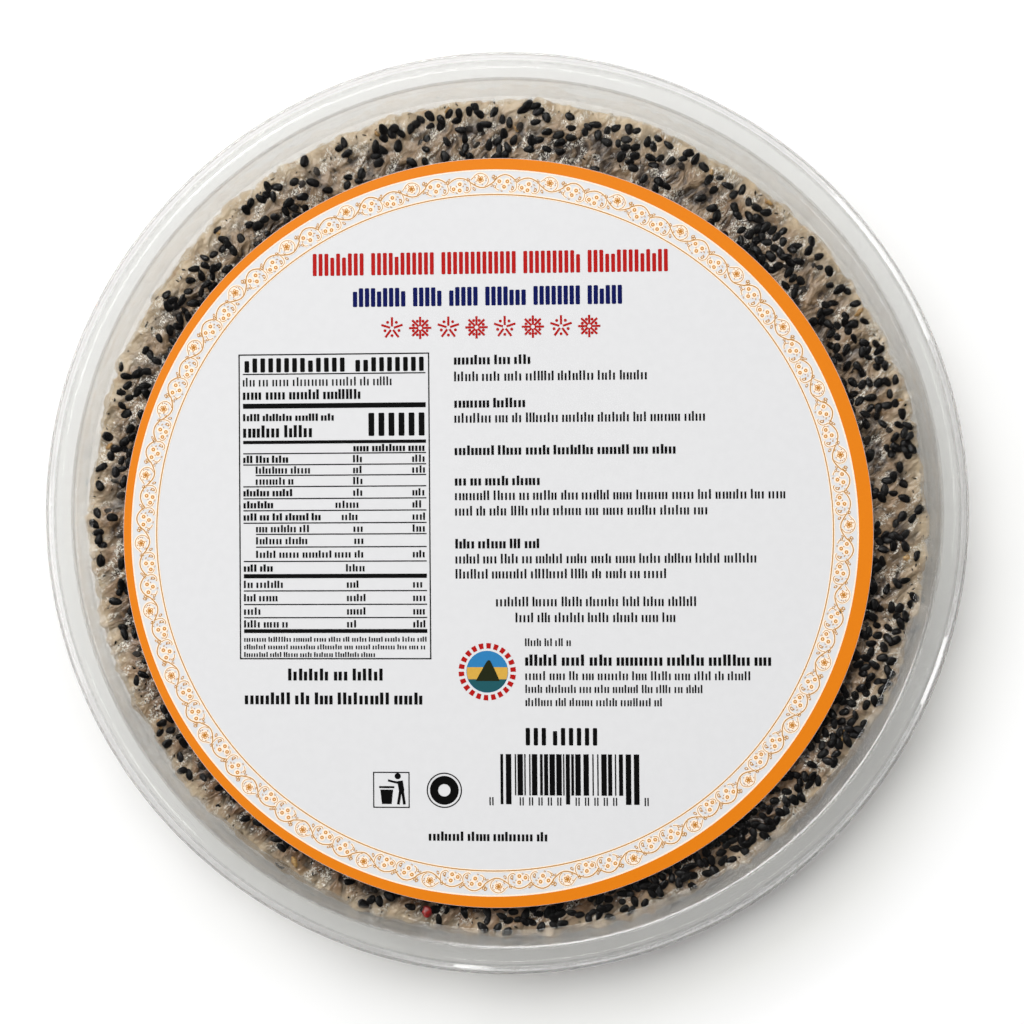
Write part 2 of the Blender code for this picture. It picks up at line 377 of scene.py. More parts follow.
def rounded(corners):
    """Points (r, z) along a line of corners (r, z, fillet), each fillet drawn as an arc."""
    points = [Vector(corners[0][:2])]
    for before, corner, after in zip(corners, corners[1:], corners[2:]):
        here = Vector(corner[:2])
        back = (Vector(before[:2]) - here).normalized()
        ahead = (Vector(after[:2]) - here).normalized()
        half = back.angle(ahead) / 2
        if corner[2] == 0 or half > math.radians(88):
            points.append(here)
            continue
        reach = corner[2] / math.tan(half)
        centre = here + (back + ahead).normalized() * corner[2] / math.sin(half)
        first = here + back * reach - centre
        turn = first.angle_signed(here + ahead * reach - centre)
        for step in range(ARC_STEPS + 1):
            cos, sin = polar(-turn * step / ARC_STEPS, 1.0)
            arm = Vector((first.x * cos - first.y * sin, first.x * sin + first.y * cos))
            points.append(centre + arm)
    points.append(Vector(corners[-1][:2]))
    return points


def beside(line, distance):
    """The same line moved sideways by distance, to the left of its direction."""
    moved = []
    for index, here in enumerate(line):
        before = line[max(index - 1, 0)]
        after = line[min(index + 1, len(line) - 1)]
        sides = []
        for start, end in ((before, here), (here, after)):
            if (end - start).length > 0:
                run = (end - start).normalized()
                sides.append(Vector((-run.y, run.x)))
        side = (sides[0] + sides[-1]).normalized()
        moved.append(here + side * distance / side.dot(sides[0]))
    return moved


def turned_sheet(name, corners, wall, made_of, slip=0.0):
    """A formed sheet of even wall, turned about Z; what lies inside its rim may slip along Y."""
    line = rounded(corners)
    under, over = beside(line, -wall / 2), beside(line, wall / 2)
    edge = (under[-1] + over[-1]) / 2 + (line[-1] - line[-2]).normalized() * wall * 0.3
    profile = under[1:] + [edge] + over[:0:-1]
    slips = [slip * min(max((RIM_RADIUS - p.x) / RIM_REACH - 1, 0.0), 1.0) for p in profile]
    points = [(0, slip, under[0].y), (0, slip, over[0].y)]
    for step in range(TURN_STEPS):
        cos, sin = polar(TURN * step / TURN_STEPS, 1.0)
        points += [(p.x * cos, p.x * sin + own, p.y) for p, own in zip(profile, slips)]
    count = len(profile)
    faces = []
    for step, after in pairs(TURN_STEPS):
        here, there = 2 + count * step, 2 + count * after
        faces.append((0, there, here))
        faces.append((1, here + count - 1, there + count - 1))
        faces += [(here + at, there + at, there + at + 1, here + at + 1) for at in range(count - 1)]
    return add_piece(name, points, faces, made_of, [name.removesuffix("_sheet")], sharp=60)


def make_tray(plastic):
    """Raised base, standing ring, nearly upright wall and a flat rim with a turned-down edge."""
    ring_inner = WELL_RADIUS - STAND_RING
    wall_foot = WELL_RADIUS - 0.4 * MM + TRAY_WALL / 2
    wall_top = WELL_RADIUS + TRAY_WALL / 2
    rim_edge = RIM_RADIUS - 2.0 * MM
    corners = [
        (0, TRAY_BOTTOM + BASE_RISE, 0),
        (ring_inner - 2.5 * MM, TRAY_BOTTOM + BASE_RISE, 1.2 * MM),
        (ring_inner, TRAY_BOTTOM, 1.2 * MM),
        (wall_foot, TRAY_BOTTOM, 2.5 * MM),
        (wall_top, TRAY_RIM, 0.6 * MM),
        (rim_edge, TRAY_RIM, 0.45 * MM),
        (rim_edge + 0.2 * MM, TRAY_RIM - 2.2 * MM, 0),
    ]
    return turned_sheet("tray_sheet", corners, TRAY_WALL, plastic)


def make_lid(plastic):
    """Sunk panel, sloped wall with a soft top, band with a fine groove, raised bead and skirt."""
    sink_top = WELL_RADIUS - 0.3 * MM
    skirt = RIM_RADIUS - LID_WALL / 2
    crest = PACK_HEIGHT - LID_WALL / 2
    corners = [
        (0, LID_PANEL, 0),
        (sink_top - SINK_SLOPE, LID_PANEL, 0.6 * MM),
        (sink_top - 0.38 * MM, LID_BAND - 0.15 * MM, 0.6 * MM),
        (sink_top, LID_BAND, 0.6 * MM),
        (RIM_RADIUS - 3.8 * MM, LID_BAND, 0.3 * MM),
        (RIM_RADIUS - 3.4 * MM, LID_BAND - GROOVE_DEPTH, 0.2 * MM),
        (RIM_RADIUS - 3.0 * MM, LID_BAND, 0.3 * MM),
        (RIM_RADIUS - 1.9 * MM, LID_BAND, 0.3 * MM),
        (RIM_RADIUS - 0.9 * MM, crest, 0.8 * MM),
        (skirt, crest, 0.32 * MM),
        (skirt, PACK_HEIGHT - 6.0 * MM, 0),
    ]
    return turned_sheet("lid_sheet", corners, LID_WALL, plastic, PANEL_SLIP)


# Crackers

def cracker_edge(number, angle):
    """Radius of a cracker's uneven outline at an angle: shallow dents in a round edge."""
    around = Vector((*polar(angle, 1.0), 0)) * EDGE_LOBES
    return CRACKER_RADIUS - EDGE_DENT * abs(noise.noise(around + Vector((0, 0, 7.3 * number))))


def cracker_lift(number, x, y):
    """Height of a cracker's wavy middle surface above its own level."""
    across = Vector((x, y, 0)) / WAVE_LENGTH + Vector((3.1 * number, 0, 5.7 * number))
    return CRACKER_WAVE * math.tanh(2.6 * noise.noise(across))


def blisters(x, y, layer):
    """Blisters, slanting folds and pebbles of a drying batter, as a height on one face."""
    here = Vector((x, y, 0))
    swell = noise.noise(here / BLISTER_SPAN + Vector((0, 0, layer)))
    bend = noise.noise_vector(here / (2 * FOLD_SPAN) + Vector((2.9, 0, layer))) * 0.8
    cos, sin = polar(FOLD_TURN, 1.0)
    slant = Vector((x * cos + y * sin, (y * cos - x * sin) / 2, 0)) / FOLD_SPAN
    fold = 1 - abs(noise.noise(slant + bend + Vector((0, 9.1, layer)))) * 2.6
    pebble = noise.noise(here / PEBBLE_SPAN + Vector((4.7, 0, layer)))
    return BLISTER_RISE * math.tanh(2.4 * swell) + FOLD_RISE * max(fold, -0.4) + PEBBLE_RISE * pebble


def face_height(number, side, x, y, share):
    """Height of a cracker's upper (side 1) or lower (side -1) face at a share of its radius."""
    level = FIRST_CRACKER + STACK_PITCH * number
    past = max(0.0, (share - THINS_FROM) / (1 - THINS_FROM))
    thick = CRACKER_SHEET / 2 * (1 - THINNED * past ** 2)
    height = level + cracker_lift(number, x, y) + side * thick
    if side > 0:
        height += blisters(x, y, 2.0 * number + 1) * (1 if number == TOP else 0.3)
        return min(height, HEADROOM)
    return height - abs(blisters(x, y, 2.0 * number)) * (0.35 if number == 0 else 0.2)


def nibbled_edge(number, angle):
    """The outline with its small chips and curls, which only ever cut into it."""
    around = Vector((*polar(angle, 1.0), 0))
    waves = abs(noise.noise(around * 9 + Vector((8, 5, number)))) * EDGE_WAVES
    chips = abs(noise.noise(around * 24 + Vector((0, 5, number)))) * EDGE_CHIPS
    bites = max(0.0, noise.noise(around * 60 + Vector((3, 0, number))) - 0.12) * EDGE_BITES
    return cracker_edge(number, angle) - waves - chips - bites


def face_rings(rim_count, shares, spacing):
    """Each ring's share of the radius and its number of points, halved towards the middle."""
    rings = []
    for share in shares:
        count = rim_count
        while count > 20 and 4 * math.pi * CRACKER_RADIUS * share / count < spacing:
            count //= 2
        rings.append((share, count))
    return rings


def lay_face(points, number, side, edge, rings):
    """Adds one face's points from the middle outwards and gives its polygons and its last ring."""
    faces = []
    rows = []
    for share, count in rings:
        stride = len(edge) // count
        row = []
        for spoke in range(count):
            x, y = polar(TURN * spoke / count, share * edge[spoke * stride], 0.0, STACK_SHIFT)
            row.append(len(points))
            points.append((x, y, face_height(number, side, x, y, share)))
        rows.append(row)
    faces.append(rows[0])
    for inner, outer in zip(rows, rows[1:]):
        times = len(outer) // len(inner)
        for start, end in pairs(len(inner)):
            reach = [outer[(start * times + step) % len(outer)] for step in range(times + 1)]
            faces.append([inner[start], *reach, inner[end]])
    if side < 0:
        faces = [face[::-1] for face in faces]
    return faces, rows[-1]


def make_cracker(number, rim_count, upper, lower, spacing, rice, stands_for):
    """One wavy sheet: two relief faces closed by a rounded, chipped edge."""
    edge = [nibbled_edge(number, TURN * spoke / rim_count) for spoke in range(rim_count)]
    points = []
    top_faces, top_rim = lay_face(points, number, 1, edge, face_rings(rim_count, upper, spacing))
    low_faces, low_rim = lay_face(points, number, -1, edge, face_rings(rim_count, lower, spacing))
    middle = []
    for spoke, (high, low) in enumerate(zip(top_rim, low_rim)):
        place = polar(TURN * spoke / rim_count, edge[spoke] + EDGE_ROUND, 0.0, STACK_SHIFT)
        middle.append(len(points))
        points.append((*place, (points[high][2] + points[low][2]) / 2))
    faces = top_faces + low_faces
    for start, end in pairs(rim_count):
        faces.append((top_rim[start], middle[start], middle[end], top_rim[end]))
        faces.append((middle[start], low_rim[start], low_rim[end], middle[end]))
    name = f"rice_sheet_{number + 1}"
    return add_piece(name, points, faces, rice, stands_for, sharp=0)


# Seeds and flakes

def outside_label(x, y, margin):
    """True where a point shows past the label's edge, or is covered by less than margin."""
    return math.hypot(x - LABEL_MIDDLE.x, y - LABEL_MIDDLE.y) > LABEL_RADIUS - margin


# Share of seeds at twelve places round the ring, from the right side anticlockwise
SEED_CROWD = (0.46, 0.65, 0.62, 0.5, 0.32, 0.52, 0.42, 0.5, 0.32, 0.82, 0.94, 1.2)


def seed_crowd(x, y):
    """Share of seeds at a place: crowded at the foot and lower right, sparser at the left."""
    sector = math.atan2(y, x) / TURN % 1 * len(SEED_CROWD)
    first = int(sector) % len(SEED_CROWD)
    second = (first + 1) % len(SEED_CROWD)
    share = sector - int(sector)
    sides = SEED_CROWD[first] * (1 - share) + SEED_CROWD[second] * share
    clump = noise.noise(Vector((x, y, 0.3)) / (7 * MM))
    return min(sides * (0.85 + 1.0 * clump), 1.1)


def strew(draw, wanted, margin):
    """Places (x, y, turn, heaped) of seeds that fell on the top face in chains and small heaps."""
    places = []
    while len(places) < wanted:
        angle = draw.uniform(0, TURN)
        reach = math.sqrt(draw.uniform(0.7, 1.0)) * CRACKER_RADIUS
        x, y = polar(angle, reach, 0.0, STACK_SHIFT)
        crowd = seed_crowd(x, y)
        if draw.random() > crowd:
            continue
        course = draw.uniform(0, TURN)
        for _ in range(1 + int(draw.expovariate(1 / (0.3 + 4.2 * crowd ** 1.5)))):
            around = math.atan2(y - STACK_SHIFT, x)
            inside = math.hypot(x, y - STACK_SHIFT) < nibbled_edge(TOP, around) - SEED_INSET
            nearest = min((math.dist((x, y), place[:2]) for place in places), default=1.0)
            if inside and outside_label(x, y, margin) and nearest > SEED_GAP:
                turn = course + draw.choice((0.0, 0.0, math.pi / 2)) + draw.gauss(0, 0.5)
                places.append((x, y, turn, nearest < HEAPED_GAP))
            course += draw.gauss(0, 0.75)
            x, y = polar(course, draw.uniform(1.9, 3.1) * MM, x, y)
    return places


def scatter(draw, wanted, gap, inner, outer, number, keep):
    """Seeded random places (x, y) on a ring of a cracker, thinned by keep and set apart by gap."""
    places = []
    cells = {}
    for _ in range(60 * wanted):
        angle = draw.uniform(0, TURN)
        rim = nibbled_edge(number, angle) - 1.1 * MM
        x, y = polar(angle, math.sqrt(draw.uniform(inner ** 2, outer ** 2)) * rim, 0.0, STACK_SHIFT)
        chance = draw.random()
        cell = (int(x // gap), int(y // gap))
        nine = [(cell[0] + i, cell[1] + j) for i in (-1, 0, 1) for j in (-1, 0, 1)]
        around = [place for near in nine for place in cells.get(near, ())]
        if any(math.dist((x, y), place) < gap for place in around) or not keep(x, y, chance):
            continue
        places.append((x, y))
        cells.setdefault(cell, []).append((x, y))
        if len(places) == wanted:
            break
    return places


def teardrop(around, along):
    """A seed of unit size: round at one end, drawn to a blunt point at the other, and flat."""
    points = [Vector((0.5, 0, 0)), Vector((-0.5, 0, 0))]
    for ring in range(1, along):
        turn = math.pi * ring / along
        for step in range(around):
            swing = TURN * step / around
            wide = math.sin(turn) ** 0.85 * (1 - 0.22 * math.cos(turn)) * 0.5
            squash = abs(math.sin(swing)) ** 0.8 * math.copysign(1, math.sin(swing))
            points.append(Vector((math.cos(turn) / 2, wide * math.cos(swing), wide * squash)))
    faces = []
    for step, after in pairs(around):
        faces.append((0, 2 + step, 2 + after))
        last = 2 + around * (along - 2)
        faces.append((1, last + after, last + step))
        for ring in range(along - 2):
            here = 2 + around * ring
            faces.append((here + step, here + around + step, here + around + after, here + after))
    return points, faces


def slope_at(number, side, x, y):
    """The face's height and outward normal at a place."""
    step = 0.9 * MM
    here = face_height(number, side, x, y, 0.9)
    east = face_height(number, side, x + step, y, 0.9) - face_height(number, side, x - step, y, 0.9)
    north = face_height(number, side, x, y + step, 0.9) - face_height(number, side, x, y - step, 0.9)
    normal = Vector((-east / (2 * step), -north / (2 * step), 1)).normalized() * side
    return here, normal


def set_in(form, number, side, x, y, size, turn, tip, sink):
    """A form's points set into a cracker's face, turned about its normal and tipped a little."""
    height, normal = slope_at(number, side, x, y)
    frame_turn = normal.to_track_quat("Z", "Y").to_matrix() @ Matrix.Rotation(turn, 3, "Z")
    frame_turn = frame_turn @ Matrix.Rotation(tip, 3, "Y")
    centre = Vector((x, y, height)) + normal * (size[2] / 2 - sink)
    set_points = [centre + frame_turn @ Vector((p.x * size[0], p.y * size[1], p.z * size[2])) for p in form]
    over = max(p.z for p in set_points) - HEADROOM
    if over > 0:
        set_points = [p - Vector((0, 0, over)) for p in set_points]
    return set_points


def add_joined(name, groups, made_of):
    """Joins many (points, faces) into one piece."""
    points, faces = [], []
    for some, their in groups:
        base = len(points)
        points += some
        faces += [tuple(base + index for index in face) for face in their]
    add_piece(name, points, faces, made_of, sharp=0)


def lumpy(draw, form, bulge):
    """A form with its own small dents, so that no two seeds are alike."""
    shift = Vector((draw.uniform(0, 50), draw.uniform(0, 50), 0))
    return [p * (1 + bulge * noise.noise(p * 2.2 + shift)) for p in form]


def seed_groups(draw, places, number, side, form):
    """Seeds at the places (x, y, turn, heaped); a heaped one lies up on its neighbour."""
    points, faces = form
    groups = []
    for x, y, turn, heaped in places:
        grow = draw.gauss(1.0, 0.07)
        wide = SEED_WIDTH * grow * draw.uniform(0.82, 1.08)
        size = (SEED_LENGTH * grow * draw.uniform(0.92, 1.08), wide, SEED_THICKNESS * grow)
        sink = draw.uniform(0.25, 0.55) * SEED_THICKNESS - (0.4 * MM if heaped else 0)
        tip = draw.gauss(0, 0.28 if heaped else 0.12)
        own = lumpy(draw, points, 0.14)
        groups.append((set_in(own, number, side, x, y, size, turn, tip, sink), faces))
    return groups


def strewn_seeds():
    """The seeds of the top face, laid before the sheet so that its batter can gather round them."""
    return strew(random.Random(31), SHOWN_SEEDS, 3 * MM)


def make_seeds(hull, shown):
    """All the black seeds, one joined piece: on the top face, at the lower rims and underneath."""
    draw = random.Random(37)
    fine, plain = teardrop(12, 6), teardrop(8, 5)
    groups = seed_groups(draw, shown, TOP, 1, fine)
    for number in range(TOP):
        rim = scatter(draw, 60, 2.6 * MM, 0.93, 1.0, number, lambda x, y, chance: chance < 0.6)
        turned = [(x, y, draw.uniform(0, 6.3), False) for x, y in rim]
        groups += seed_groups(draw, turned, number, 1, plain)
    below = scatter(
        draw, HIDDEN_SEEDS, 2.3 * MM, 0.0, 1.0, 0,
        lambda x, y, chance: chance < 0.55 + 0.9 * noise.noise(Vector((x, y, 0.8)) / (12 * MM)),
    )
    turned = [(x, y, draw.uniform(0, 6.3), False) for x, y in below]
    groups += seed_groups(draw, turned, 0, -1, plain)
    add_joined("sesame_seeds", groups, hull)


def make_sunken_seeds(hull, shown):
    """Seeds that dried under a skin of rice: flatter, greyer and lower than the rest."""
    draw = random.Random(47)
    form = teardrop(12, 7)
    places = scatter(
        draw, 40, 2.2 * MM, 0.84, 0.965, TOP,
        lambda x, y, chance: outside_label(x, y, 2 * MM)
        and min(math.dist((x, y), place[:2]) for place in shown) > 1.3 * MM,
    )
    groups = []
    for x, y in places:
        size = (SEED_LENGTH * draw.uniform(0.75, 1.0), SEED_WIDTH * draw.uniform(0.7, 0.95), 0.6 * MM)
        turn = draw.uniform(0, TURN)
        own = lumpy(draw, form[0], 0.2)
        groups.append((set_in(own, TOP, 1, x, y, size, turn, 0.0, 0.38 * MM), form[1]))
    add_joined("sunken_seeds", groups, hull)


def make_hull_scraps(hull):
    """Specks and slivers of broken hull on the top face, most of them near its thin edge."""
    draw = random.Random(53)
    form = teardrop(6, 4)
    inner = scatter(draw, 230, 1.4 * MM, 0.84, 1.0, TOP, lambda x, y, chance: outside_label(x, y, 1 * MM))
    outer = scatter(draw, 150, 1.2 * MM, 0.965, 1.008, TOP, lambda x, y, chance: True)
    groups = []
    for x, y in inner + outer:
        length = draw.uniform(0.35, 1.3) * MM
        size = (length, draw.uniform(0.25, 0.55) * MM, 0.22 * MM)
        own = lumpy(draw, form[0], 0.5)
        groups.append((set_in(own, TOP, 1, x, y, size, draw.uniform(0, 6.3), 0.0, 0.1 * MM), form[1]))
    add_joined("hull_scraps", groups, hull)


def flake_form(draw):
    """A torn flake of unit size: an uneven outline, thin and a little cupped."""
    count = 14
    outline = [polar(TURN * step / count, 0.5 * draw.uniform(0.7, 1.05)) for step in range(count)]
    points = [Vector((0, 0, 0.5)), Vector((0, 0, -0.5))]
    points += [Vector((x, y, 0.25 + 0.5 * (x * x - y * y) * 4)) for x, y in outline]
    points += [Vector((x, y, -0.35 + 0.5 * (x * x - y * y) * 4)) for x, y in outline]
    faces = []
    low = 2 + count
    for step, after in pairs(count):
        faces.append((0, 2 + step, 2 + after))
        faces.append((1, low + after, low + step))
        faces.append((2 + step, low + step, low + after, 2 + after))
    return points, faces


def make_flakes(name, seed, places, length, made_of):
    """Dried flakes set into the top face at the places given, one joined piece."""
    draw = random.Random(seed)
    groups = []
    for x, y in places:
        form = flake_form(draw)
        size = (length * draw.uniform(0.7, 1.2), length * draw.uniform(0.35, 0.6), 0.4 * MM)
        groups.append((set_in(form[0], TOP, 1, x, y, size, draw.uniform(0, 6.3), 0.0, 0.12 * MM), form[1]))
    add_joined(name, groups, made_of)


def make_chilli(made_of):
    """One swollen bead of red chilli skin at the lower left of the label."""
    points, faces = teardrop(16, 9)
    own = lumpy(random.Random(8), points, 0.35)
    size = (3.1 * MM, 2.7 * MM, 1.3 * MM)
    set_points = set_in(own, TOP, 1, -20.6 * MM, -103.4 * MM, size, 0.7, 0.0, 0.3 * MM)
    add_piece("chilli_bead", set_points, faces, made_of, sharp=0)


# Label and its print

# The label was cut a little off the middle of its print, to the right
RING_WIDTH = 2.9
PRINT_SHIFT = -0.88
# Slopes of the print's upright and level lines, and how the level ones fan out for each millimetre
PRINT_LEAN, PRINT_TILT, PRINT_FAN = 0.008, 0.0045, 0.00014
BORDER_RADIUS = 90.75
BORDER_PERIODS = 32
CELL = TURN / (3 * BORDER_PERIODS)
CELL_WIDTH = BORDER_RADIUS * CELL
INK_RISE = 0.03 * MM
# Lines of one ink that cross lie a hair apart, in a cycle of steps
INK_STEP = 0.0006 * MM
INK_CYCLE = 47
HALO, LINE, MARK = 1, 2, 3


def make_label(paper):
    """The paper disc, with its cut edge."""
    steps = 240
    points = [(*LABEL_MIDDLE.xy, LABEL_LOW.z), (*LABEL_MIDDLE.xy, LABEL_HIGH.z)]
    for step in range(steps):
        place = polar(TURN * step / steps, LABEL_RADIUS, *LABEL_MIDDLE.xy)
        points += [(*place, LABEL_LOW.z), (*place, LABEL_HIGH.z)]
    faces = []
    for step, after in pairs(steps):
        here, there = 2 + 2 * step, 2 + 2 * after
        faces += [(0, there, here), (1, here + 1, there + 1), (here, there, there + 1, here + 1)]
    return add_piece("label_paper", points, faces, paper, ["label"])


def fanned(runs):
    """Runs of shapes, leant and fanned out a little as the print of the text is."""
    def moved(x, y):
        return x - PRINT_LEAN * y, y + x * (PRINT_TILT + PRINT_FAN * y)
    return [[[moved(x, y) for x, y in shape] for shape in run] for run in runs]


def print_on(name, layer, runs, ink):
    """Lays runs of flat shapes, each a list of (x, y) in label millimetres, on the paper as one ink."""
    points, faces = [], []
    for index, run in enumerate(runs):
        height = LABEL_HIGH.z + layer * INK_RISE + index % INK_CYCLE * INK_STEP
        for shape in run:
            area = sum(a[0] * b[1] - b[0] * a[1] for a, b in zip(shape, shape[1:] + shape[:1]))
            ordered = shape if area > 0 else shape[::-1]
            faces.append(tuple(range(len(points), len(points) + len(ordered))))
            points += [(LABEL_MIDDLE.x + x * MM, LABEL_MIDDLE.y + y * MM, height) for x, y in ordered]
    return add_piece(name, points, faces, ink, sharp=0)


def disc(x, y, radius, steps=20):
    """A round spot."""
    return [polar(TURN * step / steps, radius, x, y) for step in range(steps)]


def band(x, y, inner, outer, steps, start=0.0, end=TURN, centre_out=None):
    """A ring or a part of one, as a run of quads; the outer circle may have its own centre."""
    turns = evenly(start, end - start, steps)
    near = [polar(turn, inner, x, y) for turn in turns]
    far = [polar(turn, outer, *(centre_out or (x, y))) for turn in turns]
    return [list(quad) for quad in zip(near, far, far[1:], near[1:])]


def stroke(points, width):
    """A line of even width through the points, as a run of quads."""
    rails = []
    for index, (x, y) in enumerate(points):
        before = points[max(index - 1, 0)]
        after = points[min(index + 1, len(points) - 1)]
        run = Vector((after[0] - before[0], after[1] - before[1])).normalized() * width / 2
        rails.append(((x - run.y, y + run.x), (x + run.y, y - run.x)))
    return [[a[0], a[1], b[1], b[0]] for a, b in zip(rails, rails[1:])]


def box(left, low, right, high):
    """A plain rectangle."""
    return [(left, low), (right, low), (right, high), (left, high)]


def frame_line(left, low, right, high, width):
    """The outline of a rectangle, as four bars."""
    return [
        box(left, low, right, low + width),
        box(left, high - width, right, high),
        box(left, low + width, left + width, high - width),
        box(right - width, low + width, right, high - width),
    ]


CURVE_STEPS = 5


def curve(points):
    """A smooth line through a few points."""
    ends = [Vector(point) for point in (points[0], *points, points[-1])]
    line = []
    for a, b, c, d in zip(ends, ends[1:], ends[2:], ends[3:]):
        for step in range(CURVE_STEPS):
            t = step / CURVE_STEPS
            square = (2 * a - 5 * b + 4 * c - d) * t ** 2
            cube = (3 * b - a - 3 * c + d) * t ** 3
            line.append(tuple((2 * b + (c - a) * t + square + cube) / 2))
    return line + [points[-1]]


def on_border(line, cell):
    """Points (along in cells, out in millimetres) of one cell, bent round the label clockwise."""
    bent = []
    for along, out in line:
        turn = (cell + along) * CELL
        # The vine was drawn a little unevenly: it runs ahead at the lower right
        turn += (0.18 - 0.27 * math.cos(turn + 0.44)) * CELL
        reach = BORDER_RADIUS + out
        bent.append((PRINT_SHIFT + reach * math.sin(turn), reach * math.cos(turn)))
    return bent


# Widths of the vine's stems, fine lines and glow, and how finely its curves are drawn
STEM, FINE, GLOW = 0.27, 0.16, 0.75
ARCH_STEPS = 14
LEAF_STEPS = 8


def leaf(along, out, length, turn, shrink=1.0):
    """A small leaf bud as an outline, in cells along and millimetres out."""
    cos, sin = polar(turn, 1.0)
    outline = []
    for step in range(LEAF_STEPS):
        swing = TURN * step / LEAF_STEPS
        x = length * (0.5 + 0.5 * shrink * math.cos(swing))
        y = length * 0.3 * shrink * math.sin(swing)
        outline.append((along + (x * cos - y * sin) / CELL_WIDTH, out + x * sin + y * cos))
    return outline


def vine_border():
    """A traditional running vine: two berry sprays and one flower, again and again."""
    fine, stems, spots, glow, cores, leaves, hearts = [], [], [], [], [], [], []
    shares = evenly(0.0, 1.0, ARCH_STEPS)
    swells = [math.sin(turn) for turn in evenly(0.0, math.pi, ARCH_STEPS)]
    arches = [[(at, rise * swell ** 0.8) for at, swell in zip(shares, swells)] for rise in (1.95, 1.4)]
    hollow = [(at, -1.4 * swell) for at, swell in zip(shares, swells)]
    hook = curve([(0.97, -0.1), (1.0, -0.9), (0.97, -1.8), (0.86, -2.4), (0.74, -2.5), (0.68, -2.2)])
    sprig = curve([(0.12, -0.7), (0.07, -1.2), (0.12, -1.8), (0.24, -2.15)])
    sprays = (
        ((0.24, 0.2), (0.59, 0.2), (0.45, -1.2)),
        ((0.52, -0.15), (0.23, -1.25), (0.49, -1.75)),
    )
    buds = (
        (0.02, 0.75, 1.0, 0.9), (0.06, 0.45, 0.8, 2.3), (0.86, 0.3, 0.7, 0.4),
        (0.86, -1.0, 1.2, -1.9), (0.3, -2.2, 0.6, -0.4), (0.8, -0.4, 0.6, 2.6),
    )
    dust = ((0.72, 0.75), (0.66, -0.75), (0.8, -1.0), (0.12, -0.5), (0.95, 0.75), (0.36, -0.6))
    bloom = (0.42, 0.75)
    shell = curve([
        (0.6, -1.1), (0.72, -0.5), (0.77, 0.5), (0.72, 1.4), (0.58, 2.1),
        (0.4, 2.35), (0.24, 2.0), (0.12, 1.3), (0.02, 0.8),
    ])
    flower_buds = (
        (0.97, -0.9, 1.0, -0.7), (0.95, -0.6, 0.8, -2.2), (-0.03, 0.75, 0.9, 2.6),
        (0.08, -1.2, 1.1, -1.0), (0.92, 1.0, 1.1, 0.9), (0.2, -0.6, 0.7, 2.0),
    )
    flower_dust = ((0.62, 1.5), (0.66, 0.5), (0.24, 0.3), (0.5, -0.5), (0.2, 1.3), (0.68, 1.0), (0.34, 1.8))
    for period in range(BORDER_PERIODS):
        for cell, arch, berries in zip((3 * period, 3 * period + 1), arches, sprays):
            stems.append(on_border(arch, cell))
            fine += [on_border(line, cell) for line in (hook, sprig)]
            leaves += [on_border(leaf(*bud), cell) for bud in buds]
            hearts += [on_border(leaf(*bud, 0.45), cell) for bud in buds]
            cores += [[disc(x, y, 0.14, 6)] for x, y in on_border(dust, cell)]
            for x, y in on_border(berries, cell):
                spots.append([disc(x, y, 0.5, 12)])
                hearts.append(disc(x, y, 0.15, 8))
                glow.append([disc(x, y, 0.9, 14)])
        cell = 3 * period + 2
        stems.append(on_border(hollow, cell))
        fine.append(on_border(shell, cell))
        leaves += [on_border(leaf(*bud), cell) for bud in flower_buds]
        hearts += [on_border(leaf(*bud, 0.45), cell) for bud in flower_buds]
        cores += [[disc(x, y, 0.15, 6)] for x, y in on_border(flower_dust, cell)]
        x, y = on_border([bloom], cell)[0]
        glow.append([disc(x, y, 1.35, 16)])
        for petal in range(5):
            tip = polar(TURN * petal / 5 + period, 0.6, x, y)
            spots.append([disc(*tip, 0.38, 10)])
            hearts.append(disc(*tip, 0.15, 6))
        cores.append([disc(x, y, 0.32, 10)])
    lines = [stroke(line, STEM) for line in stems]
    lines += [stroke(line, FINE) for line in fine]
    glow += [stroke(line, GLOW) for line in stems + fine]
    return glow, lines, spots, cores, [[outline] for outline in leaves], [[heart] for heart in hearts]


def words(draw, left, middle, length, height, weight, gap):
    """A line of print told as groups of plain upright strokes of uneven height, with no letters."""
    bars = []
    x = left
    low = middle - height / 2
    while x < left + length - 3 * weight:
        for _ in range(draw.randint(3, 10)):
            if x + weight > left + length:
                break
            top = height if draw.random() < 0.3 else height * 0.74
            bars.append(box(x, low, x + weight, low + top))
            x += weight + gap * draw.uniform(0.75, 1.35)
        x += height * 0.3
    return bars


BEVEL = 0.18


def capitals(draw, middle_x, middle_y, groups, height, weight, gap, space):
    """A heading told as groups of upright strokes with bevelled ends."""
    bars = []
    length = sum(count * (weight + gap) - gap for count in groups) + space * (len(groups) - 1)
    x = middle_x - length / 2
    for count in groups:
        for _ in range(count):
            low = middle_y - height / 2
            high = middle_y + height * (0.5 if draw.random() < 0.82 else 0.32)
            right = x + weight
            bars.append([
                (x, low + BEVEL), (x + BEVEL, low), (right - BEVEL, low), (right, low + BEVEL),
                (right, high - BEVEL), (right - BEVEL, high), (x + BEVEL, high), (x, high - BEVEL),
            ])
            x += weight + gap
        x += space - gap
    return bars


def rosette(x, y, size, rays):
    """A small star of strokes with a spot between its rays, as runs of shapes."""
    runs = []
    for ray in range(rays):
        swing = math.pi / 2 + TURN * ray / rays
        runs.append(stroke([polar(swing, 0.5, x, y), polar(swing, size, x, y)], 0.55))
        runs.append([disc(*polar(swing + math.pi / rays, size * 0.66, x, y), 0.4, 8)])
    return runs


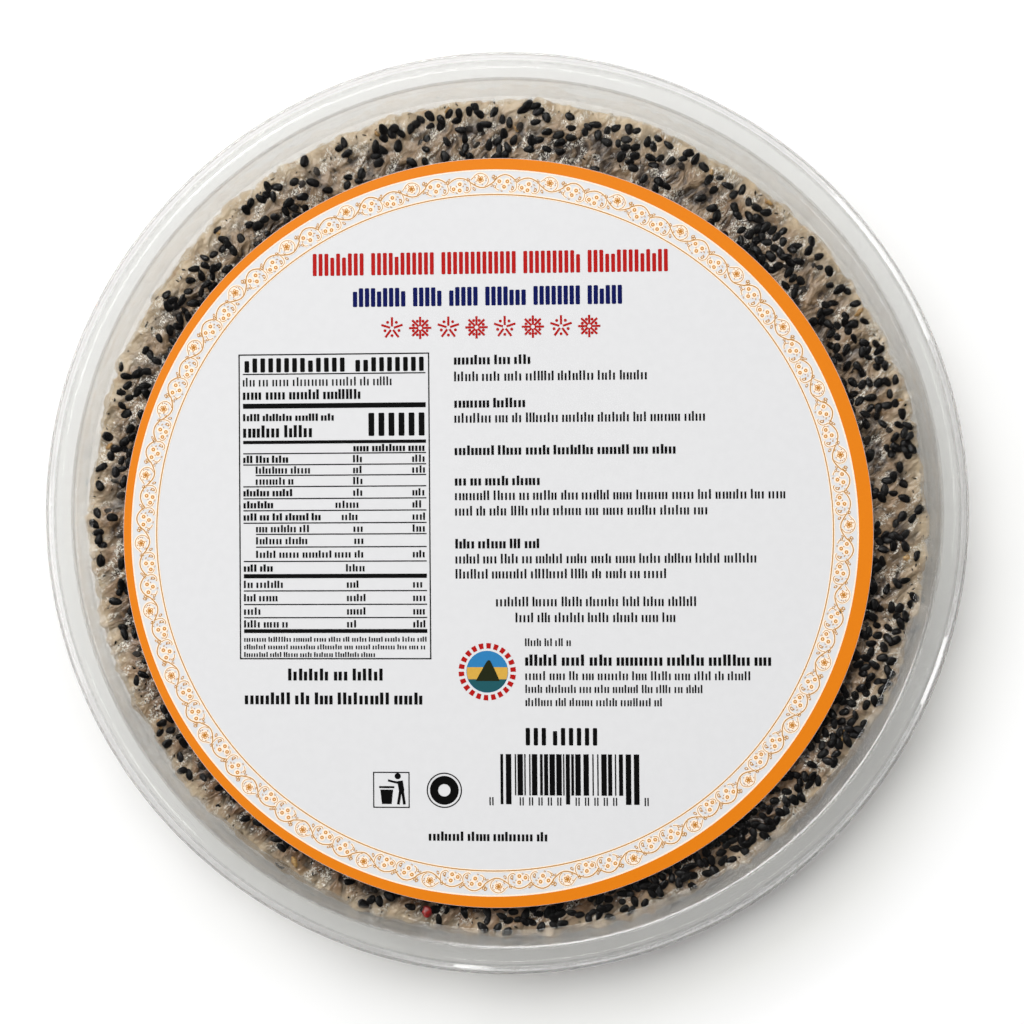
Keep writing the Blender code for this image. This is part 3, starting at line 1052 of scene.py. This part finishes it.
TABLE = (-67.0, -33.0, -17.6, 46.6)
TABLE_STRETCH = 1.01
ROW_INDENT = 3.2
TABLE_ROWS = (
    # middle under the table's top, indent, length, amount's length, end amount, rule under the row
    (27.2, 0, 12.0, 3.0, True, 28.65), (30.0, 1, 14.5, 3.0, True, 31.4), (32.85, 1, 10.5, 3.0, False, 34.3),
    (35.85, 0, 13.0, 3.0, True, 37.4), (38.95, 0, 8.5, 7.6, True, 40.5), (42.1, 0, 20.0, 6.0, True, 43.7),
    (45.15, 1, 14.5, 3.0, True, 46.6), (48.25, 1, 14.0, 2.8, False, 49.9), (51.75, 1, 28.5, 0, True, 53.6),
    (55.3, 0, 8.3, 5.0, False, 0), (59.5, 0, 11.0, 4.8, True, 61.2), (62.95, 0, 9.2, 4.8, True, 64.7),
    (66.4, 0, 4.5, 4.8, True, 68.1), (69.7, 0, 11.6, 4.8, True, 0),
)
ROW_HEIGHT = 1.9
RULE_WIDTH = 0.3
AMOUNT_END = 31.4
SHARE_LENGTH = 3.6
BOLD_ROWS = (0, 3, 4, 5, 9)
INDENTED_RULES = (1, 6, 7)
THIN_RULES = (5.2, 25.75)
HEAVY_RULES = ((12.8, 1.3), (22.4, 0.85), (56.85, 1.1), (71.05, 1.0))
# Weight of a stroke and the gap after it, in the table's bold and plain rows
BOLD, PLAIN = (0.6, 0.27), (0.5, 0.36)


def facts_table(draw):
    """A ruled table of short lines in a thin frame, as on any food pack."""
    left, low, right, high = TABLE
    ink = frame_line(left, low, right, high, 0.32)
    inner_left, inner_right = left + 1.1, right - 1.0

    def level(down):
        return high - down * TABLE_STRETCH

    def rule(start, down, thick):
        ink.append(box(start, level(down) - thick, inner_right, level(down)))

    ink += capitals(draw, (inner_left + inner_right) / 2, level(2.9), (13, 9), 3.7, 1.2, 0.86, 2.8)
    ink += words(draw, inner_left, level(7.2), 38.8, 2.3, 0.42, 0.46)
    ink += words(draw, inner_left, level(10.5), 33.5, 2.6, 0.66, 0.34)
    ink += words(draw, inner_left, level(16.4), 23.8, ROW_HEIGHT, *BOLD)
    ink += words(draw, inner_left, level(20.0), 18.2, 3.2, 0.8, 0.4)
    ink += capitals(draw, inner_right - 7.6, level(18.4), (6,), 6.0, 1.5, 1.1, 0)
    ink += words(draw, inner_right - 18.8, level(24.4), 18.8, ROW_HEIGHT, *BOLD)
    for down in THIN_RULES:
        rule(inner_left, down - RULE_WIDTH / 2, RULE_WIDTH)
    for index, (down, indent, length, amount, share, under) in enumerate(TABLE_ROWS):
        start = inner_left + ROW_INDENT * indent
        ink += words(draw, start, level(down), length, ROW_HEIGHT, *(BOLD if index in BOLD_ROWS else PLAIN))
        if amount:
            ink += words(draw, inner_left + AMOUNT_END - amount, level(down), amount, ROW_HEIGHT, *PLAIN)
        if share:
            ink += words(draw, inner_right - SHARE_LENGTH, level(down), SHARE_LENGTH, ROW_HEIGHT, *PLAIN)
        if under:
            rule(start if index in INDENTED_RULES else inner_left, under - RULE_WIDTH / 2, RULE_WIDTH)
    for down, thick in HEAVY_RULES:
        rule(inner_left, down, thick)
    for line, share in enumerate((1.0, 1.0, 0.72)):
        length = share * (inner_right - inner_left)
        ink += words(draw, inner_left, level(73.65 + 1.97 * line), length, 1.3, 0.36, 0.28)
    return ink


TEXT_LEFT = -11.2
# Weight of a stroke and the gap after it, in lines whose strokes are as high as most are
TEXT_HEIGHT = 2.5
THICK, THIN = (0.68, 0.37), (0.5, 0.42)
# middle height, left, length, height of the strokes, thick or thin
TEXT_LINES = (
    (44.6, TEXT_LEFT, 20.2, 2.5, True), (40.3, TEXT_LEFT, 52.5, 2.5, False),
    (33.4, TEXT_LEFT, 18.9, 2.5, True), (29.5, TEXT_LEFT, 65.4, 2.5, False),
    (21.1, TEXT_LEFT, 59.2, 2.5, True),
    (13.2, TEXT_LEFT, 24.8, 2.5, True), (9.4, TEXT_LEFT, 87.6, 2.5, False),
    (5.4, TEXT_LEFT, 65.7, 2.5, False), (-3.1, TEXT_LEFT, 21.7, 2.5, True),
    (-7.0, TEXT_LEFT, 79.4, 2.5, False), (-10.9, TEXT_LEFT, 56.9, 2.5, False),
    (-18.1, -0.8, 52.0, 2.5, False), (-22.2, 4.2, 41.9, 2.5, False),
    (-28.6, 6.6, 12.4, 2.0, False), (-33.2, 6.6, 64.6, 2.9, True), (-37.2, 6.6, 58.4, 2.3, False),
    (-40.6, 6.6, 46.3, 2.1, False), (-44.0, 6.6, 35.7, 2.1, False),
    (-36.95, -54.6, 24.4, 3.1, True), (-43.15, -65.8, 47.0, 3.1, True),
    (-78.6, -18.6, 32.0, 2.4, True),
)


def text_block(draw):
    """The lines of small print beside and under the table."""
    ink = []
    for middle, left, length, height, thick in TEXT_LINES:
        weight, gap = [part * height / TEXT_HEIGHT for part in (THICK if thick else THIN)]
        ink += words(draw, left, middle, length, height, weight, gap)
    ink += capitals(draw, 15.8, -52.9, (3, 6), 4.5, 1.1, 0.96, 1.8)
    return ink


def bar_strip(draw):
    """A strip of plain bars of uneven width; the long ones stand between pairs of small strokes."""
    right, high, low = 36.2, -57.4, -68.0
    ink = []
    x = 0.0
    while x < right - 0.6:
        width = draw.choice((0.35, 0.35, 0.7, 1.05, 1.4))
        long = x < 3.2 or 16.8 < x < 18.0 or x > 31.8
        ink.append(box(x, low - 2.3 if long else low, x + width, high))
        x += width + draw.choice((0.35, 0.35, 0.7, 0.9))
    halves = [start + 2.42 * step for start in (4.9, 19.3) for step in range(5)]
    for start in (-2.9, *halves, right + 0.9):
        for stroke_left in (start, start + 0.72):
            ink.append(box(stroke_left, low - 2.6, stroke_left + 0.34, low - 0.5))
    return ink


def small_signs():
    """Two plain signs, as runs of shapes: a bin in a square, and a ring round a thick ring."""
    bin_pot = [(-30.6, -70.4), (-28.1, -70.4), (-27.7, -66.7), (-31.0, -66.7)]
    return [
        frame_line(-32.85, -71.4, -23.45, -62.1, 0.28),
        [bin_pot, box(-31.3, -66.3, -27.4, -65.8), disc(-26.5, -63.2, 0.8)],
        stroke(curve([(-25.9, -64.4), (-25.5, -67.0)]), 1.4),
        stroke([(-25.8, -66.9), (-26.4, -70.5)], 0.7),
        stroke([(-25.3, -66.9), (-24.8, -70.5)], 0.7),
        stroke(curve([(-25.8, -65.0), (-27.4, -64.7), (-29.0, -64.3)]), 0.55),
        band(-14.5, -66.8, 4.25, 4.55, 48),
        band(-14.5, -66.8, 1.6, 3.7, 48),
    ]


def roundel():
    """A small round picture of plain fields: sky, low sun, hill and water, in a dashed ring."""
    x, y = -3.2, -36.2
    dashes = 22
    red = []
    for dash in range(dashes):
        start = TURN * dash / dashes
        red += band(x, y, 6.0, 7.4, 3, start, start + 0.17)

    def lower_part(first):
        turns = evenly(math.pi * (1 + first), math.pi * (1 - 2 * first), 23)
        return [[polar(turn, 5.3, x, y) for turn in turns]]

    ridge = ((-3.0, -2.4), (-1.4, 0.4), (0.3, 3.0), (1.5, 1.4), (3.2, -2.4))
    hill = [curve([(x + across, y + up) for across, up in ridge])]
    return red, [disc(x, y, 5.4, 48)], lower_part(-0.07), lower_part(0.12), hill


def print_label():
    """Every ink of the label, from the ring inwards."""
    draw = random.Random(64)
    orange = printing_ink("orange_ring_ink", "#DE7A02", 0.08)
    gold = printing_ink("ochre_line_ink", "#B5803E", 0.3)
    amber = printing_ink("amber_spot_ink", "#C98A3E", 0.3)
    peach = printing_ink("peach_glow_ink", "#F6E2CC", 0.5)
    black = printing_ink("black_text_ink", "#060606", 0.1, 0.1)
    red = printing_ink("red_heading_ink", "#A9100D", 0.2, 0.2)
    blue = printing_ink("blue_heading_ink", "#020C4C", 0.2, 0.15)
    radius = LABEL_RADIUS / MM
    inner = radius - RING_WIDTH
    ring = band(PRINT_SHIFT, 0, inner, radius - 0.08, 360, centre_out=(0, 0))
    print_on("orange_ring", LINE, [ring], orange)
    glow, lines, spots, cores, leaves, hearts = vine_border()
    glow += [band(PRINT_SHIFT, 0, reach, reach + 0.8, 300) for reach in (87.1, inner - 0.4)]
    print_on("border_glow", HALO, glow, peach)
    print_on("border_lines", LINE, [band(PRINT_SHIFT, 0, 87.34, 87.62, 300), *lines], gold)
    print_on("border_leaves", LINE, leaves, gold)
    print_on("border_spots", LINE, spots, amber)
    print_on("border_hearts", MARK, hearts, peach)
    print_on("border_cores", MARK, cores, printing_ink("ochre_core_ink", "#B4742A", 0.2))
    heading = capitals(draw, -1.6, 69.8, (9, 11, 13, 10, 14), 5.8, 1.0, 0.52, 2.0)
    print_on("red_heading", LINE, fanned([heading]), red)
    stars = []
    for step in range(8):
        stars += rosette(-27.2 + 7.3 * step, 53.0, 2.9, 5 + step % 2 * 3)
    print_on("red_rosettes", LINE, fanned(stars), red)
    heading = capitals(draw, -2.4, 61.1, (9, 5, 5, 7, 8, 6), 4.9, 1.12, 0.44, 2.0)
    print_on("blue_heading", LINE, fanned([heading]), blue)
    text = [facts_table(draw), text_block(draw), bar_strip(draw), *small_signs()]
    print_on("black_print", LINE, fanned(text), black)
    dashes, sky, warm, sea, hill = roundel()
    print_on("roundel_dashes", LINE, fanned([dashes]), red)
    print_on("roundel_sky", HALO, fanned([sky]), printing_ink("sky_ink", "#2777AE", 0.1))
    print_on("roundel_haze", LINE, fanned([warm]), printing_ink("haze_ink", "#CDA040", 0.15))
    print_on("roundel_water", MARK, fanned([sea]), printing_ink("water_ink", "#135058", 0.1))
    print_on("roundel_hill", MARK + 1, fanned([hill]), printing_ink("hill_ink", "#1D220C", 0.1, 0.2))


# Stage, light and camera

PHOTO_SIDE = 1024
RIM_PIXELS = 461.3
CAMERA_AIM = Vector((1.16 * MM, -0.26 * MM, PACK_HEIGHT - 1.0 * MM))
CAMERA_REACH = 0.9
CAMERA_LEAN = math.radians(2.2)
SENSOR = 36.0


def make_floor():
    """A wide round card under the pack."""
    bm = bmesh.new()
    bmesh.ops.create_circle(bm, cap_ends=True, segments=96, radius=3.0)
    mesh = bpy.data.meshes.new("floor")
    bm.to_mesh(mesh)
    bm.free()
    mesh.materials.append(matt_card())
    floor = bpy.data.objects.new("floor", mesh)
    floor.location.z = -0.05 * MM
    bpy.context.scene.collection.objects.link(floor)


def make_camera():
    """Looks straight down on the lid, leaning a little from the label's foot."""
    view = bpy.data.cameras.new("camera")
    view.sensor_width = SENSOR
    span = PHOTO_SIDE / RIM_PIXELS * RIM_RADIUS
    view.lens = SENSOR * CAMERA_REACH / span
    view.clip_start = 0.01
    camera = bpy.data.objects.new("camera", view)
    lean = Vector((0, -math.sin(CAMERA_LEAN), math.cos(CAMERA_LEAN)))
    camera.location = CAMERA_AIM + lean * CAMERA_REACH
    camera.rotation_euler = (CAMERA_LEAN, 0, 0)
    bpy.context.scene.collection.objects.link(camera)
    bpy.context.scene.camera = camera


def make_light(name, power, direction, distance, width, height):
    """A softbox at a distance in metres, of a width and height in metres, aimed at the pack."""
    light = bpy.data.lights.new(name, "AREA")
    light.shape = "RECTANGLE"
    light.size = width
    light.size_y = height
    light.energy = power
    lamp = bpy.data.objects.new(name, light)
    away = Vector(direction).normalized()
    lamp.location = away * distance
    lamp.rotation_euler = away.to_track_quat("Z", "Y").to_euler()
    bpy.context.scene.collection.objects.link(lamp)


def make_room():
    """A dim room, darkest overhead, so that the flat lid mirrors little."""
    world = bpy.data.worlds.new("room")
    world.use_nodes = True
    tree = world.node_tree
    height = add(tree, "SeparateXYZ", "Z", {"Vector": add(tree, "TexCoord", "Generated", {})})
    dark = add(tree, "MapRange", "Result", {"Value": height, "From Min": 0.05, "From Max": 0.85}, **SOFT)
    tone = coats(tree, colour("#A6A6A5"), (dark, colour("#242424")))
    feed(tree, tree.nodes["Background"], {"Color": tone, "Strength": 1.0})
    bpy.context.scene.world = world


def make_stage():
    """Floor, room, a large key light from the upper left and two weaker fills."""
    make_floor()
    make_room()
    make_light("key", 92.0, (-0.5, 0.8, 1.1), distance=2.6, width=3.2, height=1.0)
    make_light("fill_left", 4.0, (-0.85, -0.5, 1.05), distance=1.6, width=0.5, height=0.5)
    make_light("fill_right", 4.0, (0.9, 0.2, 1.0), distance=1.6, width=0.5, height=0.5)
    make_camera()
    scene = bpy.context.scene
    scene.view_settings.view_transform = "Standard"
    scene.cycles.transparent_max_bounces = 16
    scene.cycles.transmission_bounces = 12
    scene.cycles.max_bounces = 12


def gather_batter(sheet, shown):
    """Raises the dried batter to a soft lip round each seed that shows."""
    tree = kdtree.KDTree(len(shown))
    for index, (x, y, _, _) in enumerate(shown):
        tree.insert((x, y, 0), index)
    tree.balance()
    middle = FIRST_CRACKER + STACK_PITCH * TOP
    for vertex in sheet.data.vertices:
        x, y, z = vertex.co
        if z < middle + cracker_lift(TOP, x, y) or math.hypot(x, y) > 0.985 * CRACKER_RADIUS:
            continue
        distance = tree.find((x, y, 0))[2]
        lip = LIP_RISE * math.exp(-((distance - LIP_REACH) / LIP_WIDTH) ** 2)
        vertex.co.z = min(z + lip, HEADROOM)


def make_crackers(shown):
    """The five sheets. The top one is fine where it shows, the lowest one underneath."""
    rice = dried_rice_sheet()
    # Rings of points, as shares of the radius: few where the label or another sheet covers them
    coarse = (0.12, 0.3, 0.5, 0.68, 0.78)
    fine = evenly(0.82, 0.18, 44)
    even = (0.12, 0.3, 0.5, 0.7, 0.85, 0.95, 1.0)
    sheet = make_cracker(TOP, 1280, (*coarse, *fine), even, 0.55 * MM, rice, ["cracker_5"])
    gather_batter(sheet, shown)
    make_cracker(0, 640, even, evenly(0.02, 0.98, 80), 1.1 * MM, rice, ["cracker_1"])
    rims = (*coarse, 0.86, 0.91, 0.94, 0.96, 0.975, 0.9875, 1.0)
    for number in range(1, TOP):
        make_cracker(number, 640, rims, even, 1.3 * MM, rice, [f"cracker_{number + 1}"])


def make_toppings(shown):
    """Seeds, sunken seeds, scraps of hull, onion flakes and a bead of chilli."""
    hull = sesame_hull("black_sesame_hull", "#050404", "#131110", 0.3)
    make_seeds(hull, shown)
    make_sunken_seeds(sesame_hull("rice_skinned_hull", "#211D1A", "#4F473E", 0.4), shown)
    make_hull_scraps(hull)
    onion = [
        (0.053, 0.088), (0.0915, 0.052), (-0.0155, 0.1045), (0.002, 0.1), (-0.075, 0.073),
        (0.1035, -0.012), (0.087, -0.058), (-0.1035, 0.017), (-0.09, -0.055), (0.047, -0.096),
        (-0.055, -0.0905), (0.1015, 0.029), (-0.034, 0.0985), (0.068, 0.0805),
    ]
    make_flakes("onion_flakes", 5, onion, 3.2 * MM, dried_flake("dried_onion", "#8A6636", "#C09C62"))
    make_chilli(dried_flake("dried_chilli", "#6E0E0A", "#B3180F"))


def main():
    # The vector noise that bends the folds starts from the clock unless it is given a seed
    noise.seed_set(5)
    make_tray(clear_pet("tray_pet", "#F8F8F7", 0.45, 0.62))
    make_lid(clear_pet("lid_pet", "#FCFCFC", 0.25, 1.0))
    shown = strewn_seeds()
    make_crackers(shown)
    make_toppings(shown)
    make_label(coated_paper())
    print_label()
    make_stage()


main()
